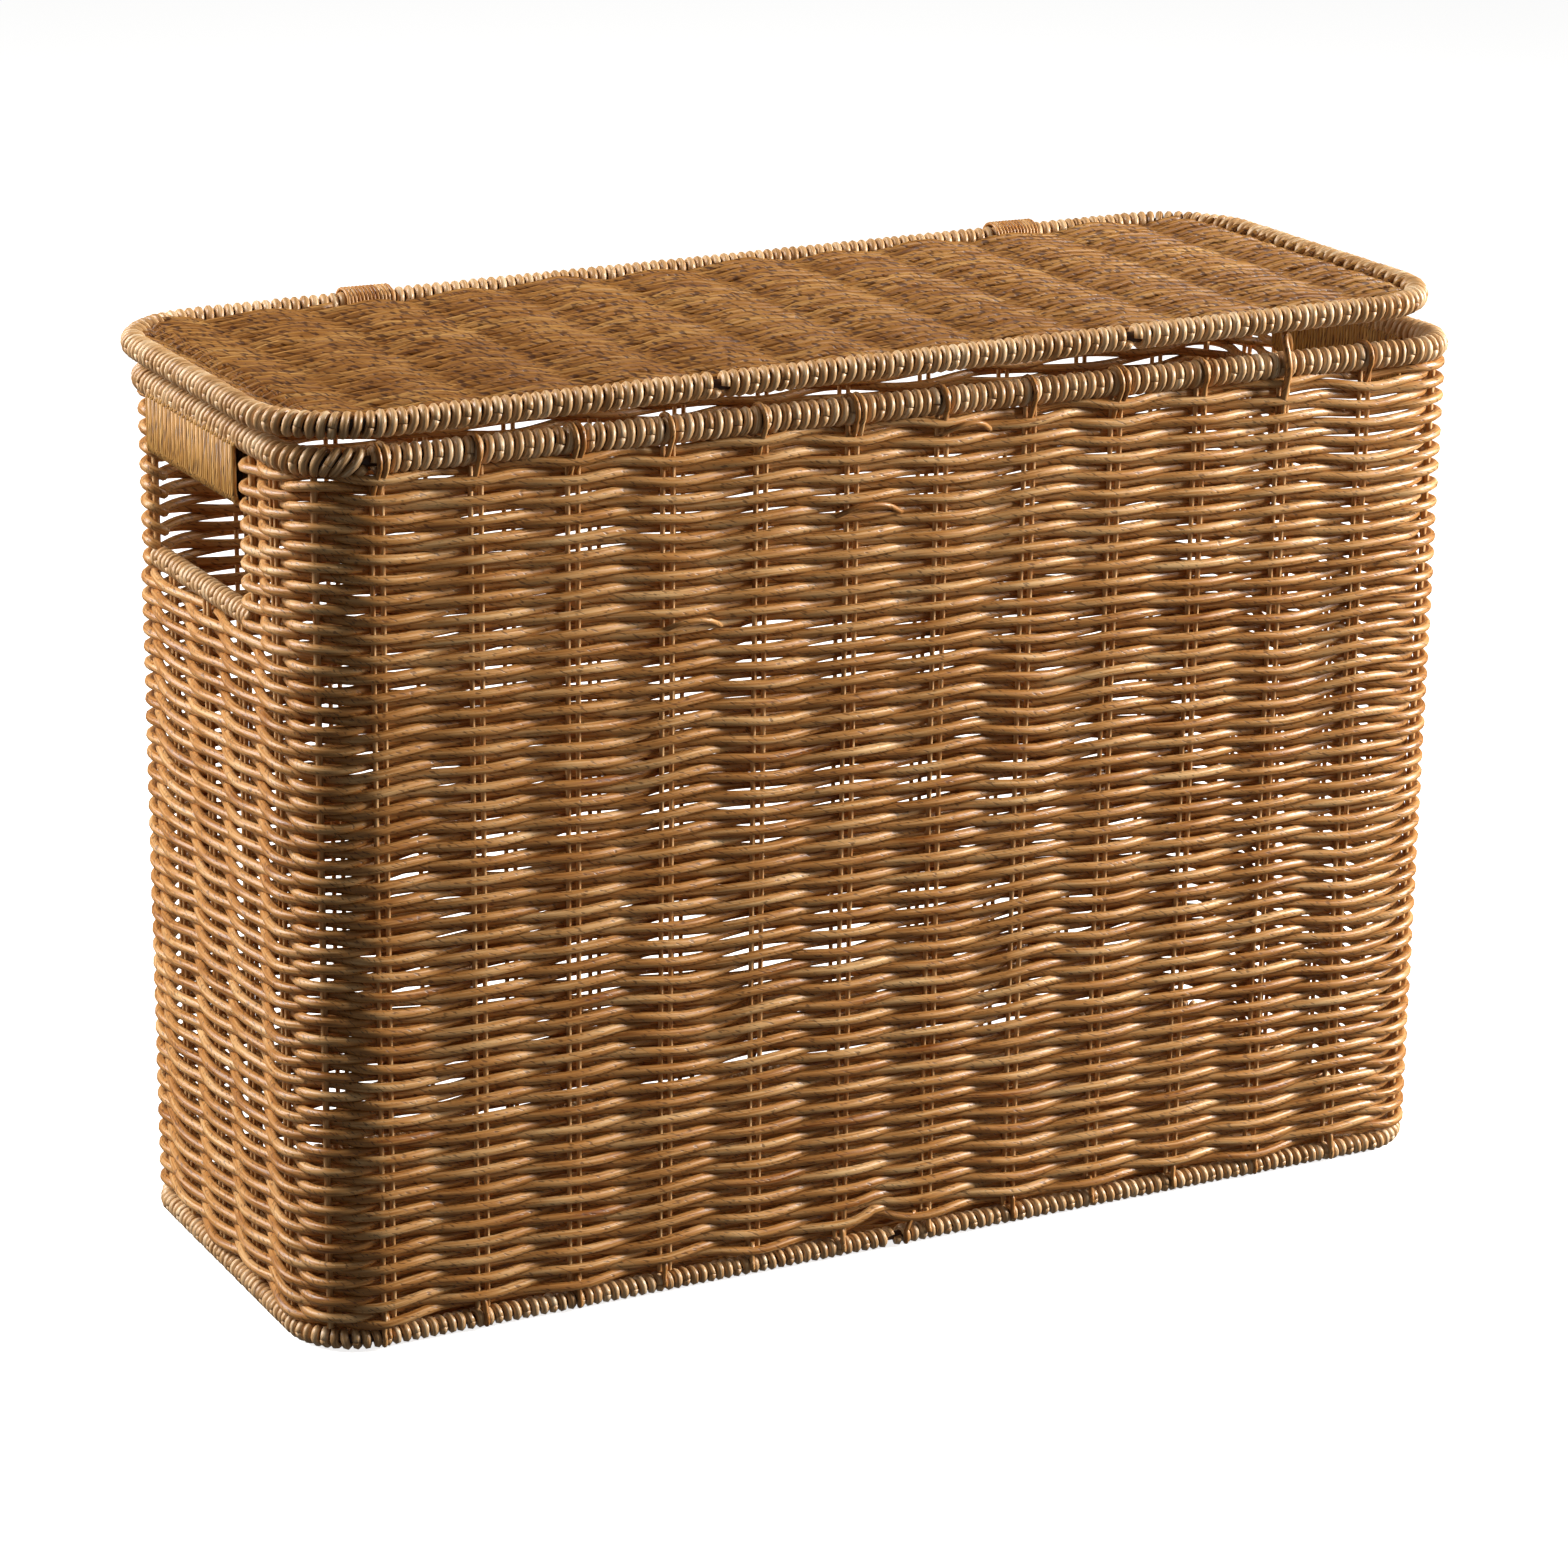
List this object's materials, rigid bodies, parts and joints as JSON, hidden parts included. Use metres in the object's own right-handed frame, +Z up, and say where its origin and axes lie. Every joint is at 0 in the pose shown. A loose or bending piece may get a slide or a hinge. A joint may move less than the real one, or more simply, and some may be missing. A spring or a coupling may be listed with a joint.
{
  "type": "laundry hamper with lid",
  "caption": "Slim rectangular laundry hamper of woven plastic cane on a wire frame, with cut-out handles in its short sides and a hinged woven lid.",
  "frame": {"origin": "middle of the underside, on the floor", "axes": "+X along the long side, +Y towards the hinges at the back, +Z up"},
  "size_m": [0.621, 0.2415, 0.4481],
  "materials": {
    "wall_cane": "round extruded cane, woven, semi-gloss",
    "lid_cane": "round extruded cane, woven close, semi-gloss",
    "wrap_cane": "round extruded cane, wound turn by turn",
    "handle_cane": "thin cane wound upright and close",
    "frame_wire": "steel wire, brown enamel"
  },
  "bodies": {
    "basket": {"back_stakes": "wall_cane", "back_weave": "wall_cane", "base_rod": "frame_wire", "base_wrap_back": "wrap_cane", "base_wrap_corners": "wrap_cane", "base_wrap_front_left": "wrap_cane", "base_wrap_front_right": "wrap_cane", "base_wrap_left": "wrap_cane", "base_wrap_right": "wrap_cane", "corner_posts": "wall_cane", "corner_weave_back_left": "wall_cane", "corner_weave_back_right": "wall_cane", "corner_weave_front_left": "wall_cane", "corner_weave_front_right": "wall_cane", "floor_stakes": "wall_cane", "floor_weave": "wall_cane", "front_stakes": "wall_cane", "front_weave": "wall_cane", "hinge_left": "wall_cane", "hinge_right": "wall_cane", "left_cheek_weave": "wall_cane", "left_handle_band": "handle_cane", "left_handle_posts": "wall_cane", "left_handle_rod": "frame_wire", "left_post_wraps": "wrap_cane", "left_sill_rod": "frame_wire", "left_sill_wrap": "wrap_cane", "left_stakes": "wall_cane", "left_weave": "wall_cane", "prop_loop": "wall_cane", "right_cheek_weave": "wall_cane", "right_handle_band": "handle_cane", "right_handle_posts": "wall_cane", "right_handle_rod": "frame_wire", "right_post_wraps": "wrap_cane", "right_sill_rod": "frame_wire", "right_sill_wrap": "wrap_cane", "right_stakes": "wall_cane", "right_weave": "wall_cane", "rim_rod": "frame_wire", "rim_strands": "wall_cane", "rim_wrap_back": "wrap_cane", "rim_wrap_corners": "wrap_cane", "rim_wrap_front": "wrap_cane", "rim_wrap_left": "wrap_cane", "rim_wrap_right": "wrap_cane"},
    "lid": {"lid_rod": "frame_wire", "lid_stakes": "lid_cane", "lid_weave": "lid_cane", "lid_wrap_back": "wrap_cane", "lid_wrap_corners": "wrap_cane", "lid_wrap_front_left": "wrap_cane", "lid_wrap_front_middle": "wrap_cane", "lid_wrap_front_right": "wrap_cane", "lid_wrap_left": "wrap_cane", "lid_wrap_right": "wrap_cane"}
  },
  "joints": [
    {"name": "lid_hinge", "type": "hinge", "parent": "basket", "child": "lid", "pos_m": [-0.00812, 0.11299, 0.43619], "axis": [-0.9999, 0, -0.0133], "range_deg": [0, 215]}
  ]
}
